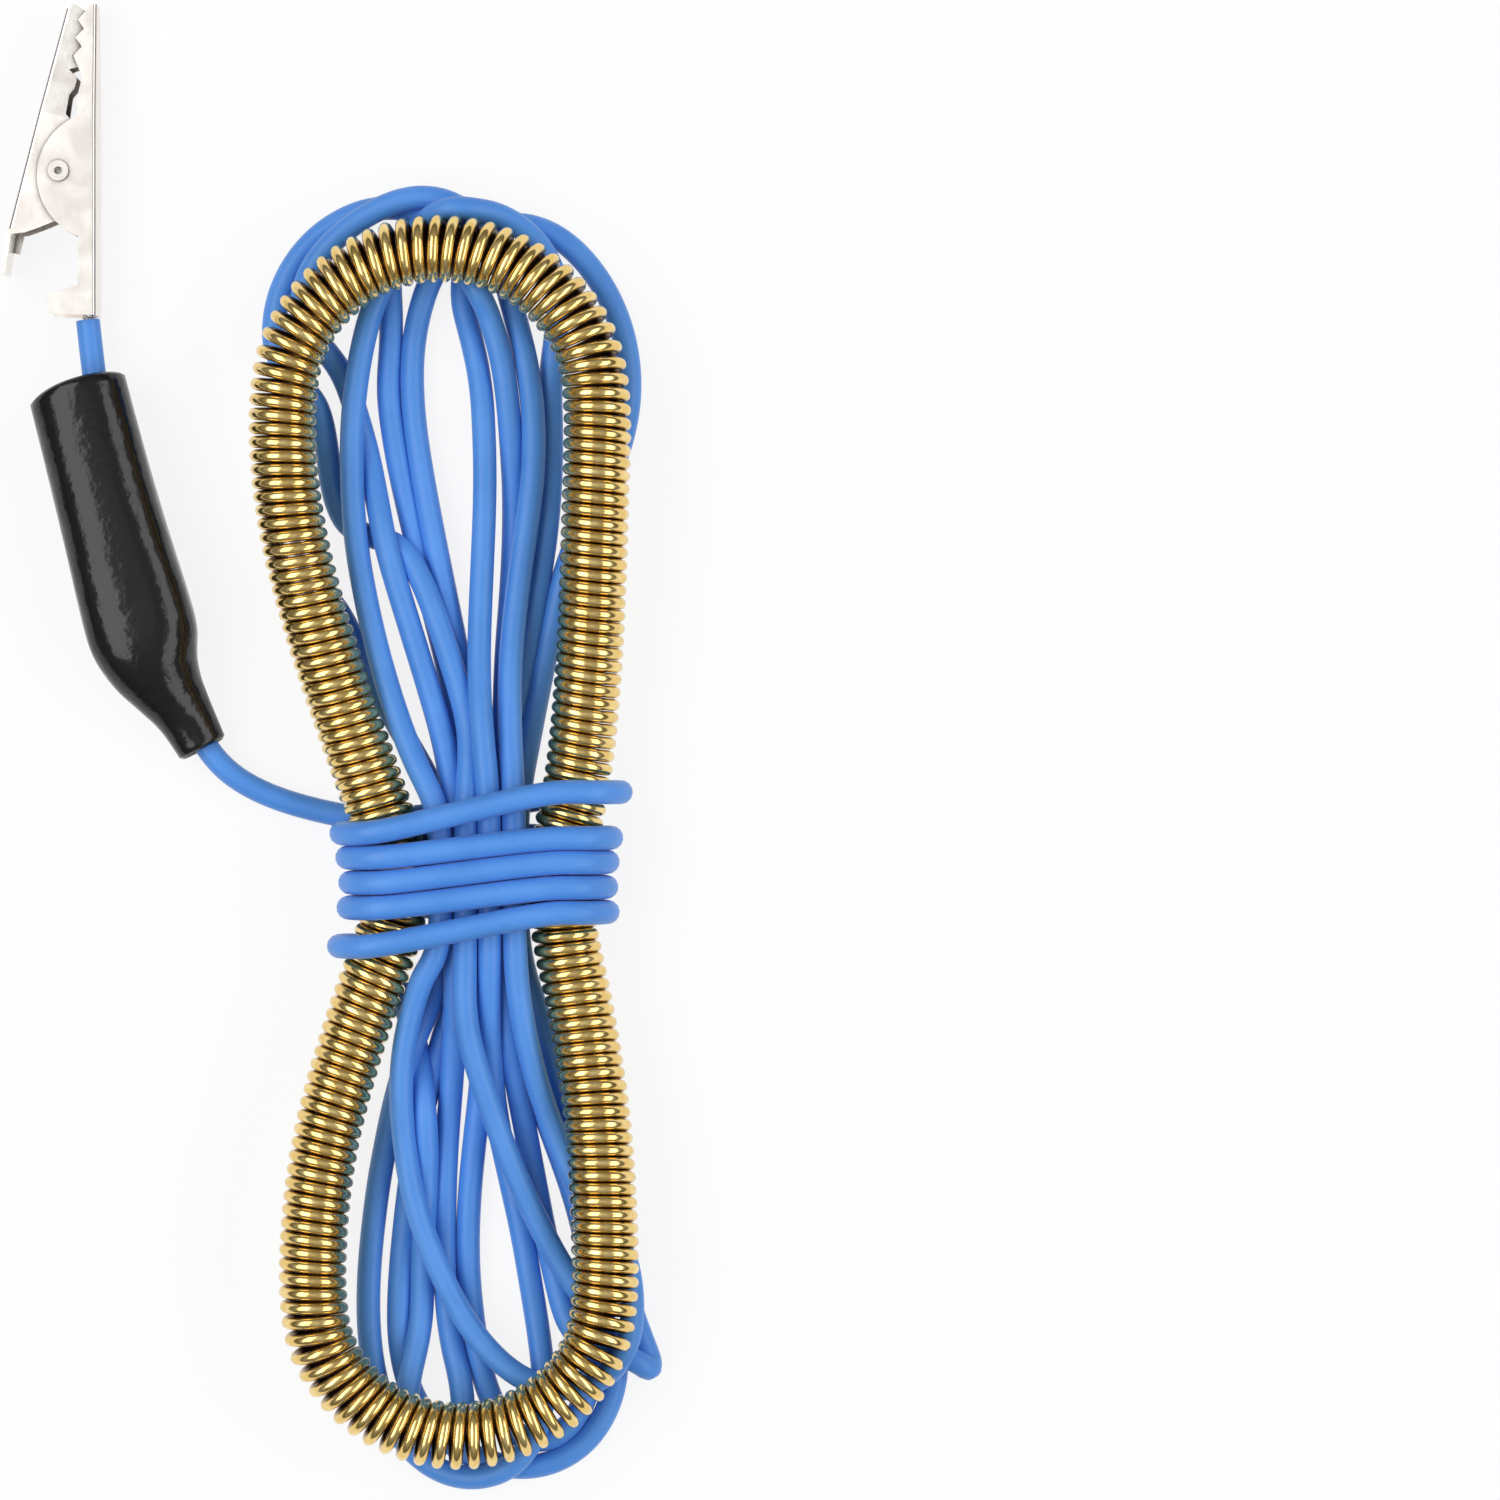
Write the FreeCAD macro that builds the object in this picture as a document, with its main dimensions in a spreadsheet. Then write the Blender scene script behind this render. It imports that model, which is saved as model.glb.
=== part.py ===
import FreeCAD, Part
import math
import os

import Sketcher

# ESD wrist strap: a closed loop of coil spring worn round the wrist, a limp ground lead folded into a
# hank and bound round the loop's waist, a sliding boot, and a sprung alligator clip on the lead's end.
# Millimetres. +Z up. The strap lies on the plane Z = 0, seen from above with the clip at the top left.
# The origin is below the middle of the clip, boot and spring loop.

# Driving dimensions: alias, value, what it is.
SIZES = [
    ("wire_od", 2.7, "lead's insulation, outer diameter"),
    ("conductor_od", 1.3, "bare tinned strands of the lead"),
    ("coil_od", 7.6, "spring loop, outer diameter of its turns"),
    ("coil_wire", 1.35, "spring loop, wire diameter"),
    ("bed", 5.4, "height of the lead's strands under the ends of the loop"),
    ("waist_bed", 2.7, "height of the wraps under the waist of the loop"),
    ("waist_y", -16.8, "middle of the waist"),
    ("waist_left", 8.3, "left leg's centre at the waist"),
    ("waist_right", 26.7, "right leg's centre at the waist"),
    ("wraps_width", 14.6, "width of the five wraps side by side"),
    ("top_x", 13.3, "top bend of the loop, centre"),
    ("top_y", 36.4, "top bend of the loop, centre"),
    ("top_r", 17.7, "top bend of the loop, centreline radius"),
    ("end_x", 15.4, "bottom bend of the loop, centre"),
    ("end_y", -61.4, "bottom bend of the loop, centre"),
    ("end_r", 16.6, "bottom bend of the loop, centreline radius"),
    ("joiner_length", 7.0, "plug inside the loop's joint"),
    ("fit_gap", 0.05, "running and push fit clearance, radial"),
    ("soft_gap", 0.3, "clearance that keeps a soft piece off its neighbour"),
    ("clip_x", -29.5, "clip's rivet"),
    ("clip_y", 63.05, "clip's rivet"),
    ("clip_width", 6.0, "clip over its outer walls"),
    ("tip_width", 3.6, "clip over its outer walls, at the tip"),
    ("sheet", 0.45, "clip's sheet metal"),
    ("spine_reach", 4.15, "rivet axis to the fixed jaw's spine"),
    ("tip_reach", 18.75, "rivet axis to the tip"),
    ("spine_bend", 0.4, "clip, outer radius of the bends along each spine"),
    ("tail_reach", 16.1, "rivet axis to the end of the tail"),
    ("lobe_r", 7.2, "round side lobe of the fixed jaw"),
    ("tooth_pitch", 2.05, "distance between teeth"),
    ("tooth_depth", 0.95, "height of a tooth"),
    ("thumb_reach", 3.87, "rivet axis to the moving jaw's spine"),
    ("thumb_tilt", 14.4, "moving jaw's lean when shut, degrees"),
    ("thumb_tail", 12.6, "rivet axis to the end of the thumb tab"),
    ("rivet_shank", 1.6, "rivet, shank diameter"),
    ("rivet_bore", 0.9, "rivet, bore diameter"),
    ("rivet_head", 2.3, "rivet, head diameter"),
    ("head_thick", 0.35, "rivet, head thickness"),
    ("spring_wire", 0.5, "clip's torsion spring, wire diameter"),
    ("spring_turns", 3, "clip's torsion spring, turns"),
    ("spring_arm", 5.6, "clip's torsion spring, arm length"),
    ("boot_wall", 0.75, "boot, wall thickness"),
    ("boot_mouth", 11.0, "boot, width at the mouth"),
    ("boot_waist", 12.4, "boot, greatest width"),
    ("boot_height", 10.2, "boot, height as it lies"),
    ("cuff_od", 5.5, "boot, outer diameter of its cuff"),
    ("cuff_gap", 0.25, "radial clearance of the lead in the cuff"),
]

doc = FreeCAD.newDocument("esd_wrist_strap")
sheet = doc.addObject("Spreadsheet::Sheet", "dim")
for row, (alias, number, meaning) in enumerate(SIZES, start=1):
    sheet.set("A%d" % row, alias)
    sheet.set("B%d" % row, str(number))
    sheet.setAlias("B%d" % row, alias)
    sheet.set("C%d" % row, meaning)
doc.recompute()

Vector = FreeCAD.Vector
UP = Vector(0, 0, 1)
parts = []


def measure(expression):
    """The number that an expression on the sheet's aliases stands for now."""
    result = sheet.evalExpression(str(expression))
    return float(getattr(result, "Value", result))


def make(kind, name, **bound):
    """One document object with each property bound to its expression."""
    thing = doc.addObject(kind, name)
    for prop, expression in bound.items():
        thing.setExpression(prop, str(expression))
    return thing


def place(thing, x=0, y=0, z=0, turn=0):
    """Bind a thing's place, and its turn about +Z in degrees, to expressions."""
    thing.setExpression(
        "Placement", "placement(vector(%s; %s; %s); rotation(vector(0; 0; 1); %s))" % (x, y, z, turn)
    )
    return thing


def keep(thing, label):
    """Name a finished sub-part."""
    thing.Label = label
    parts.append(thing)
    return thing


def outline(name, corners, plane="XY", base=0):
    """A closed sketch of straight edges, with every corner held from the sketch's origin by two expressions.

    The sketch lies at the offset base on its plane. On YZ, a corner is (y, z), on XZ it is (x, z)."""
    sketch = doc.addObject("Sketcher::SketchObject", name)
    turns = {"XY": "rotation(vector(0; 0; 1); 0)",
             "XZ": "rotation(vector(1; 0; 0); 90)",
             "YZ": "rotation(vector(1; 1; 1); 120)"}
    bases = {"XY": "vector(0; 0; %s)", "XZ": "vector(0; %s; 0)", "YZ": "vector(%s; 0; 0)"}
    sketch.setExpression("Placement", "placement(%s; %s)" % (bases[plane] % base, turns[plane]))
    spots = [Vector(measure(u), measure(v), 0) for u, v in corners]
    for here, there in zip(spots, spots[1:] + spots[:1]):
        sketch.addGeometry(Part.LineSegment(here, there), False)
    for index in range(len(spots)):
        following = (index + 1) % len(spots)
        sketch.addConstraint(Sketcher.Constraint("Coincident", index, 2, following, 1))
    for index, (spot, corner) in enumerate(zip(spots, corners)):
        for direction, size, expression in zip(("DistanceX", "DistanceY"), spot, corner):
            held = sketch.addConstraint(Sketcher.Constraint(direction, -1, 1, index, 1, size))
            sketch.setExpression("Constraints[%d]" % held, str(expression))
    return sketch


def prism(name, corners, length, plane="XY", base=0):
    """An outline drawn out square to its plane."""
    solid = make("Part::Extrusion", name, LengthFwd=length)
    solid.Base = outline(name + "_outline", corners, plane, base)
    solid.DirMode = "Normal"
    solid.Solid = True
    return solid


def rod(name, radius, length, x=0, y=0, z=0):
    """An upright cylinder."""
    return place(make("Part::Cylinder", name, Radius=radius, Height=length), x, y, z)


def less(name, base, tool):
    """The base with the tool cut away."""
    cut = doc.addObject("Part::Cut", name)
    cut.Base, cut.Tool = base, tool
    return cut


def union(name, pieces):
    """The pieces as one solid."""
    joined = doc.addObject("Part::MultiFuse", name)
    joined.Shapes = pieces
    return joined


def common(name, pieces):
    """What the pieces share."""
    shared = doc.addObject("Part::MultiCommon", name)
    shared.Shapes = pieces
    return shared


def round_spine(name, block, x):
    """The block with its long edges on the plane at x rounded, as sheet metal is where it is folded."""
    doc.recompute()
    picked = []
    for index, edge in enumerate(block.Shape.Edges, start=1):
        ends = [vertex.Point for vertex in edge.Vertexes]
        on_spine = all(abs(end.x - measure(x)) < 1e-6 for end in ends)
        if on_spine and abs(ends[0].y - ends[1].y) > 1:
            picked.append((index, measure("dim.spine_bend"), measure("dim.spine_bend")))
    fillet = doc.addObject("Part::Fillet", name)
    fillet.Base = block
    fillet.Edges = picked
    return fillet


# ---- tubes that follow a route of straight runs and tangent arcs ----

ROUNDING = 0.45


def rounded_route(points, closed=False):
    """Runs and arcs through a route.

    A run is ("run", start, end) and an arc is ("arc", start, end, centre, axis, angle, radius). Each arc's radius is 0.45 of its shorter run, divided by the tangent of half the turn."""
    count = len(points)
    corners = range(count) if closed else range(1, count - 1)
    bends = {}
    for index in corners:
        before, at, after = points[index - 1], points[index], points[(index + 1) % count]
        incoming, outgoing = at - before, after - at
        turn = incoming.getAngle(outgoing)
        trim = ROUNDING * min(incoming.Length, outgoing.Length)
        radius = trim / math.tan(turn / 2)
        axis = incoming.cross(outgoing).normalize()
        start = at - Vector(incoming).normalize() * trim
        end = at + Vector(outgoing).normalize() * trim
        centre = start + axis.cross(incoming).normalize() * radius
        bends[index] = ("arc", start, end, centre, axis, math.degrees(turn), radius)
    pieces = []
    for index in range(count if closed else count - 1):
        following = (index + 1) % count
        start = bends[index][2] if index in bends else points[index]
        end = bends[following][1] if following in bends else points[following]
        pieces.append(("run", start, end))
        if following in bends:
            pieces.append(bends[following])
    return pieces


def tube_along(pieces, radius):
    """A round bar along the runs and arcs, and its centreline's length."""
    solids = []
    length = 0.0
    for piece in pieces:
        if piece[0] == "run":
            start, end = piece[1:]
            solids.append(Part.makeCylinder(radius, (end - start).Length, start, end - start))
            length += (end - start).Length
        else:
            start, end, centre, axis, angle, bend = piece[1:]
            heading = axis.cross(start - centre)
            section = Part.Face(Part.Wire([Part.makeCircle(radius, start, heading)]))
            solids.append(section.revolve(centre, axis, angle))
            length += math.radians(angle) * bend
    return solids[0].multiFuse(solids[1:]).removeSplitter(), length


def solid_part(label, shape):
    """A sub-part whose shape is worked out from the sheet in this file's own code."""
    thing = doc.addObject("Part::Feature", label)
    thing.Shape = shape
    return keep(thing, label)


def report_tube(label, shape, pieces, length, area):
    """Print a tube's arcs and compare its volume with its section times its length."""
    radii = sorted(round(piece[6], 1) for piece in pieces if piece[0] == "arc")
    print("%s: length %.1f, radii %s, volume %.1f against %.1f"
          % (label, length, radii, shape.Volume, area * length))


# ---- the spring loop ----

coil_r = measure("dim.coil_od / 2")
coil_bore_r = measure("dim.coil_od / 2 - dim.coil_wire")


LOOP_SLOPE = 38.0  # how far along Y the loop takes to rise from the wraps to its bed
waist_left, waist_right = measure("dim.waist_left"), measure("dim.waist_right")
waist_y = measure("dim.waist_y")


def loop_height(y):
    """The loop's centre is a bed of strands high at its ends and sinks to the wraps at its waist."""
    past_wraps = max(abs(y - waist_y) - measure("dim.wraps_width / 2"), 0)
    reach = min(past_wraps / LOOP_SLOPE, 1.0)
    rise = reach * reach * (3 - 2 * reach)
    low, high = measure("dim.waist_bed"), measure("dim.bed")
    return coil_r + low + (high - low) * rise


def bend_points(x, y, radius, first, last, steps):
    """Corners outside a bend, so that the arcs between them lie on its radius."""
    step = (last - first) / steps
    reach = radius / math.cos(math.radians(step / 2))
    angles = [math.radians(first + step * (index + 0.5)) for index in range(steps)]
    return [(x + reach * math.cos(angle), y + reach * math.sin(angle)) for angle in angles]


# Places of each leg's bends, down the right leg and up the left one.
right_leg = [(30.6, 25.0), (30.0, 9.0), (28.7, -5.0),
             (waist_right - 0.1, waist_y + 3.0), (waist_right, waist_y - 4.0),
             (29.0, -31.0), (31.2, -45.0)]
left_leg = [(-0.4, -48.0), (3.6, -33.0),
            (waist_left, waist_y - 3.5), (waist_left - 0.1, waist_y + 3.5),
            (4.6, -3.5), (-0.6, 12.0), (-4.0, 26.0)]
flat_loop = (
    bend_points(measure("dim.top_x"), measure("dim.top_y"), measure("dim.top_r"), 180, 0, 7)
    + right_leg
    + bend_points(measure("dim.end_x"), measure("dim.end_y"), measure("dim.end_r"), 0, -180, 7)
    + left_leg
)
loop_points = [Vector(x, y, loop_height(y)) for x, y in flat_loop]


def spring_loop():
    """The close-wound spring, as the hollow tube that its turns fill, and the plug that joins its ends."""
    pieces = rounded_route(loop_points, closed=True)
    outside, length = tube_along(pieces, coil_r)
    inside, _ = tube_along(pieces, coil_bore_r)
    tube = outside.cut(inside)
    report_tube("bracelet_coil", tube, pieces, length, math.pi * (coil_r**2 - coil_bore_r**2))
    solid_part("bracelet_coil", tube)
    middle, ahead = joint_place()
    half = ahead * (measure("dim.joiner_length") / 2)
    plug_r = coil_bore_r - 2 * measure("dim.fit_gap")
    solid_part("coil_joiner", Part.makeCylinder(plug_r, 2 * half.Length, middle - half, ahead))


def joint_place():
    """Middle and direction of the run of the left leg that holds the loop's joint."""
    lower, upper = loop_points[-2], loop_points[-1]
    return (lower + upper) * 0.5, (upper - lower).normalize()


# ---- the lead ----

wire_r = measure("dim.wire_od / 2")
conductor_r = measure("dim.conductor_od / 2")
lead_end_y = measure("dim.clip_y - dim.tail_reach") - 0.4
clip_middle_z = measure("dim.head_thick + dim.clip_width / 2")

# The lead's loose end, from the clip's tail through the boot to the left side of the wraps. The run from
# cuff_start to cuff_end, where it lies straight in the boot's cuff, is the line on which the boot slides.
CORE_X = "(dim.clip_x + dim.spine_reach - dim.sheet - dim.conductor_od / 2 - dim.fit_gap)"
lead_start_x = measure(CORE_X)
cuff_z = measure("dim.cuff_od / 2")
cuff_start = Vector(-19.1, 8.5, cuff_z)
cuff_end = Vector(-12.4, -3.2, cuff_z)
tail_route = [
    Vector(lead_start_x, lead_end_y, clip_middle_z),
    Vector(-25.95, 41.0, clip_middle_z + 0.05),
    Vector(-25.1, 35.0, 3.3),
    Vector(-24.0, 28.2, 3.2),
    Vector(-22.4, 21.4, 3.1),
    Vector(-20.8, 15.0, 2.9),
    cuff_start,
    cuff_end,
    Vector(-9.3, -5.5, 1.9),
    Vector(-5.6, -7.0, 1.4),
    Vector(-1.4, -8.6, 1.36),
    Vector(3.2, -9.8, 1.35),
]


CONDUCTOR_HALF = 2.4  # half the length of bare strands under the loop


def lead_tail():
    """The unwound stretch of the lead."""
    pieces = rounded_route(tail_route)
    shape, length = tube_along(pieces, wire_r)
    report_tube("lead_tail", shape, pieces, length, math.pi * wire_r**2)
    solid_part("lead_tail", shape)


def lead_head():
    """The lead's other end, from the bare strands under the loop's joint down into the hank."""
    middle, ahead = joint_place()
    start = middle - ahead * CONDUCTOR_HALF - UP * (coil_r + wire_r + measure("dim.fit_gap"))
    route = [start, start - ahead * 4.2 - UP * 0.9, Vector(1.2, 8.4, 1.9), Vector(4.4, 5.2, 1.5),
             Vector(7.6, 1.6, 2.0)]
    pieces = rounded_route(route)
    shape, length = tube_along(pieces, wire_r)
    report_tube("lead_head", shape, pieces, length, math.pi * wire_r**2)
    solid_part("lead_head", shape)


def lead_wraps():
    """The five wraps round the loop's waist, as one band that follows the two legs inside it."""
    half = measure("dim.wraps_width / 2")
    legs = [[Vector(x, y, loop_height(y)) for x, y in leg] for leg in (right_leg[2:6], left_leg[1:5])]
    rings = []
    for radius in (coil_r + measure("dim.wire_od"), coil_r + measure("dim.fit_gap")):
        tubes = [tube_along(rounded_route(leg), radius)[0] for leg in legs]
        middle_z = loop_height(waist_y)
        corners = [Vector(spot.x, spot.y, middle_z - radius) for leg in legs for spot in leg]
        between = Part.Face(Part.makePolygon(corners + corners[:1])).extrude(UP * (2 * radius))
        rings.append(between.multiFuse(tubes))
    room = Part.makeBox(100, 2 * half, 40, Vector(-30, waist_y - half, -10))
    solid_part("lead_wraps", rings[0].cut(rings[1]).common(room))


def strands(label, pad, gap, funnel, away):
    """Half of the hank: a pad of bights under one end of the loop, and a funnel of strands to the waist.

    pad is the outline of the bights and the strands between the legs, gap the opening between the strands,
    funnel the pad's edge that the funnel starts from (left, right, y), and away is +1 or -1 along Y."""
    low, high = "dim.waist_bed + dim.soft_gap", "dim.waist_bed + dim.coil_od - dim.soft_gap"
    pad_top = "(dim.bed - dim.soft_gap)"
    bed = prism(label + "_pad", pad, pad_top)
    left, right, start = funnel
    core_left = "dim.waist_left + dim.coil_od / 2 + dim.soft_gap"
    core_right = "dim.waist_right - dim.coil_od / 2 - dim.soft_gap"
    edge = "dim.waist_y + %d * dim.wraps_width / 2" % away
    wide = outline(label + "_wide", [(left, 0), (right, 0), (right, pad_top), (left, pad_top)],
                   plane="XZ", base=start)
    narrow = outline(label + "_narrow", [
        (core_left, low), (core_right, low), (core_right, high), (core_left, high)], plane="XZ", base=edge)
    taper = doc.addObject("Part::Loft", label + "_taper")
    taper.Sections = [wide, narrow]
    taper.Solid = True
    taper.Ruled = True
    core = prism(label + "_core", [
        (core_left, "dim.waist_y"), (core_right, "dim.waist_y"), (core_right, edge), (core_left, edge)],
        "dim.coil_od - 2 * dim.soft_gap", base=low)
    whole = union(label + "_whole", [bed, taper, core])
    opening = prism(label + "_gap", gap, "3 * dim.bed", base="-dim.bed")
    keep(less(label, whole, opening), label)


def lead_hank():
    """Both halves of the folded lead, which meet under the wraps."""
    strands(
        "lead_strands_upper",
        pad=[(1.6, 20.0), (-4.2, 33.0), (-6.9, 44.0), (-6.0, 50.5), (-2.5, 56.0), (3.0, 59.6), (11.0, 61.4),
             (24.0, 59.2), (30.0, 54.5), (34.0, 47.0), (36.0, 39.0), (34.8, 32.0), (25.6, 20.0), (25.4, 9.0),
             (5.4, 9.0)],
        gap=[(13.2, 48.0), (12.0, 36.0), (12.0, 28.6), (14.0, 17.0), (16.0, 10.0), (16.8, 28.6),
             (15.6, 39.0)],
        funnel=(5.4, 25.4, 9.0),
        away=1,
    )
    strands(
        "lead_strands_lower",
        pad=[(7.8, -38.0), (25.4, -38.0), (27.2, -50.0), (30.2, -59.5), (36.0, -66.0), (35.4, -75.0),
             (31.0, -80.0), (23.0, -84.0), (15.8, -84.9), (6.5, -80.5), (0.0, -73.0), (-0.6, -66.0),
             (3.4, -58.0), (3.6, -50.0)],
        gap=[(19.8, -45.0), (18.4, -56.0), (18.6, -64.0), (21.6, -70.5), (22.9, -66.0), (22.3, -56.0)],
        funnel=(7.8, 25.4, -38.0),
        away=-1,
    )


def lead_ends():
    """The lead's bare strands: soldered in the clip's tail, and under the loop's joint."""
    core = make("Part::Cylinder", "clip_conductor", Radius="dim.conductor_od / 2", Height="5.5")
    core.setExpression("Placement", (
        "placement(vector(%s; dim.clip_y - dim.tail_reach - 0.4; dim.head_thick + dim.clip_width / 2);"
        " rotation(vector(1; 0; 0); -90))" % CORE_X))
    keep(core, "clip_conductor")
    middle, ahead = joint_place()
    fit = measure("dim.fit_gap")
    low_end = middle - ahead * CONDUCTOR_HALF - UP * (coil_r + wire_r + fit)
    high_end = middle + ahead * CONDUCTOR_HALF - UP * (coil_r + conductor_r + fit)
    line = high_end - low_end
    solid_part("bracelet_conductor", Part.makeCylinder(conductor_r, line.Length, low_end, line))


def solder():
    """The solder round the bare strands in the clip's tail: a round bead, flat where it lies on the spine."""
    bead = make("Part::Cylinder", "clip_bead", Radius="dim.conductor_od / 2 + 0.5", Height="3.4")
    bore = make("Part::Cylinder", "clip_bead_bore", Radius="dim.conductor_od / 2", Height="9")
    for thing, back in ((bead, "1.2"), (bore, "-1")):
        thing.setExpression("Placement", (
            "placement(vector(%s; dim.clip_y - dim.tail_reach + %s; dim.head_thick + dim.clip_width / 2);"
            " rotation(vector(1; 0; 0); -90))" % (CORE_X, back)))
    slab = place(make("Part::Box", "clip_bead_room", Length="3", Width="8", Height="6"),
                 "dim.clip_x + dim.spine_reach - dim.sheet - 3", "dim.clip_y - dim.tail_reach - 0.3", 0)
    keep(less("clip_solder", common("clip_bead_seat", [bead, slab]), bore), "clip_solder")


# ---- the alligator clip, drawn about its rivet's axis with +Y towards the tip ----

WALL_REACH = 20  # past every edge of the clip
NARROWS = 6  # from the rivet's axis to where the clip starts to narrow


def channel_walls(width, tip):
    """The Y-Z outline of a channel: parallel from behind its back end, then narrowing to its tip.

    width and tip are its full widths there, about the clip's mid-plane."""
    middle = "(dim.head_thick + dim.clip_width / 2)"
    half, tip_half = "(%s) / 2" % width, "(%s) / 2" % tip
    back, start = -WALL_REACH, NARROWS
    return [
        (back, "%s - %s" % (middle, half)), (start, "%s - %s" % (middle, half)),
        ("dim.tip_reach + 1", "%s - %s" % (middle, tip_half)),
        ("dim.tip_reach + 1", "%s + %s" % (middle, tip_half)),
        (start, "%s + %s" % (middle, half)), (back, "%s + %s" % (middle, half)),
    ]


TEETH = 3


def tooth_edge(x, y, lean, side):
    """Corners of a saw edge down from a notch at (x, y): each tooth's notch, then its point.

    side is -1 where the points face -X and +1 where they face +X. Each tooth is set over by lean."""
    corners = []
    for tooth in range(TEETH):
        notch = "%s - %d * dim.tooth_pitch" % (y, tooth)
        over = tooth * lean
        corners.append(("%s + %s" % (x, over), notch))
        corners.append(("%s + %s + %d * dim.tooth_depth" % (x, over, side),
                        "%s - dim.tooth_pitch / 2" % notch))
    return corners


def fixed_jaw():
    """The channel that the lead is soldered in: spine, round lobes, teeth, tail strip and tail lugs."""
    saw = tooth_edge("3.0", "dim.tip_reach - 0.7", -0.24, -1)
    profile = prism("fixed_profile", [
        ("dim.spine_reach", "-dim.tail_reach"), ("dim.spine_reach", "dim.tip_reach"),
        ("dim.spine_reach - 0.75", "dim.tip_reach"),
    ] + saw + [
        ("2.62", "dim.tip_reach - 8.1"), ("2.35", "dim.tip_reach - 9.8"), ("2.1", "dim.tip_reach - 10.7"),
        ("2.1", "6.6"), ("2.25", "-6.0"), ("2.25", "3.35 - dim.tail_reach"),
        ("-1.1", "2.35 - dim.tail_reach"), ("-1.45", "0.95 - dim.tail_reach"),
        ("-1.2", "0.25 - dim.tail_reach"), ("2.6", "-dim.tail_reach"),
    ], "dim.clip_width + 2 * dim.head_thick")
    lobe = rod("fixed_lobe", "dim.lobe_r", "dim.clip_width + 2 * dim.head_thick",
               "dim.spine_reach + 0.65", "-0.56")
    plate = union("fixed_plate", [profile, lobe])
    reach = "(dim.spine_reach + %d)" % WALL_REACH
    outside = prism("fixed_outside",
                    channel_walls("dim.clip_width", "dim.tip_width"),
                    reach, plane="YZ", base="-%d" % WALL_REACH)
    outside = round_spine("fixed_folds", outside, "dim.spine_reach")
    inside = prism("fixed_inside",
                   channel_walls("dim.clip_width - 2 * dim.sheet", "dim.tip_width - 2 * dim.sheet"),
                   reach + " - dim.sheet", plane="YZ", base="-%d" % WALL_REACH)
    channel = less("fixed_channel", common("fixed_block", [plate, outside]), inside)
    hole = rod("fixed_hole", "dim.rivet_shank / 2", "3 * dim.clip_width", z="-dim.clip_width")
    keep(place(less("clip_fixed_jaw", channel, hole), "dim.clip_x", "dim.clip_y"), "clip_fixed_jaw")


def moving_jaw():
    """The channel that nests inside the fixed jaw, drawn with its spine upright and then leant to it."""
    saw = tooth_edge("-2.2", "dim.tip_reach - 1.7", 0.14, 1)
    nest = "(dim.clip_width - 2 * dim.sheet - 2 * dim.fit_gap)"
    tip_nest = "(dim.tip_width - 2 * dim.sheet - 2 * dim.fit_gap)"
    profile = prism("moving_profile", [
        ("-dim.thumb_reach", "-8.3"), ("-dim.thumb_reach", "dim.tip_reach - 0.9"),
        ("-3.1", "dim.tip_reach - 0.1"), ("-1.5", "dim.tip_reach - 0.65"),
    ] + saw + [
        ("-1.8", "dim.tip_reach - 7.4"), ("-0.7", "dim.tip_reach - 8.1"), ("-0.7", "9.4"), ("-1.1", "8.6"),
        ("-0.9", "6.4"), ("0.4", "5.6"),
        ("2.9", "1.6"), ("2.9", "-1.6"), ("1.0", "-5.4"), ("-0.6", "-6.6"), ("-2.1", "-7.6"),
    ], "dim.clip_width + 2 * dim.head_thick")
    width = "dim.thumb_reach + 6"
    outside = prism("moving_outside", channel_walls(nest, tip_nest), width, plane="YZ",
                    base="-dim.thumb_reach")
    outside = round_spine("moving_folds", outside, "-dim.thumb_reach")
    inside = prism("moving_inside",
                   channel_walls(nest + " - 2 * dim.sheet", tip_nest + " - 2 * dim.sheet"),
                   width, plane="YZ", base="-dim.thumb_reach + dim.sheet")
    channel = less("moving_channel", common("moving_block", [profile, outside]), inside)
    tab = prism("thumb_tab", [
        ("-dim.thumb_reach", "-8.4"), ("-dim.thumb_reach", "-7.6"), ("-dim.thumb_reach + dim.sheet", "-7.6"),
        ("-dim.thumb_reach + dim.sheet", "-8.4"), ("-dim.thumb_reach + dim.sheet + 0.45", "-dim.thumb_tail"),
        ("-dim.thumb_reach + 0.45", "-dim.thumb_tail - 0.05"),
    ], nest, base="dim.head_thick + dim.sheet + dim.fit_gap")
    ear = place(make("Part::Box", "thumb_ear", Length="1.0", Width="2.0", Height="dim.sheet"),
                "-dim.thumb_reach + 0.3", "-9.9", "dim.head_thick + dim.sheet + dim.fit_gap")
    body = union("moving_body", [channel, tab, ear])
    hole = rod("moving_hole", "dim.rivet_shank / 2 + dim.fit_gap", "3 * dim.clip_width", z="-dim.clip_width")
    jaw = less("clip_moving_jaw", body, hole)
    keep(place(jaw, "dim.clip_x", "dim.clip_y", turn="-dim.thumb_tilt"), "clip_moving_jaw")


def rivet():
    """The hollow rivet, with a head against each outer wall."""
    shank = rod("rivet_shank_rod", "dim.rivet_shank / 2", "dim.clip_width + 2 * dim.head_thick")
    low = rod("rivet_low_head", "dim.rivet_head / 2", "dim.head_thick")
    high = rod("rivet_high_head", "dim.rivet_head / 2", "dim.head_thick",
               z="dim.head_thick + dim.clip_width")
    bore = rod("rivet_bore_rod", "dim.rivet_bore / 2", "2 * dim.clip_width", z="-1")
    whole = less("clip_rivet", union("rivet_whole", [shank, low, high]), bore)
    keep(place(whole, "dim.clip_x", "dim.clip_y"), "clip_rivet")


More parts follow.
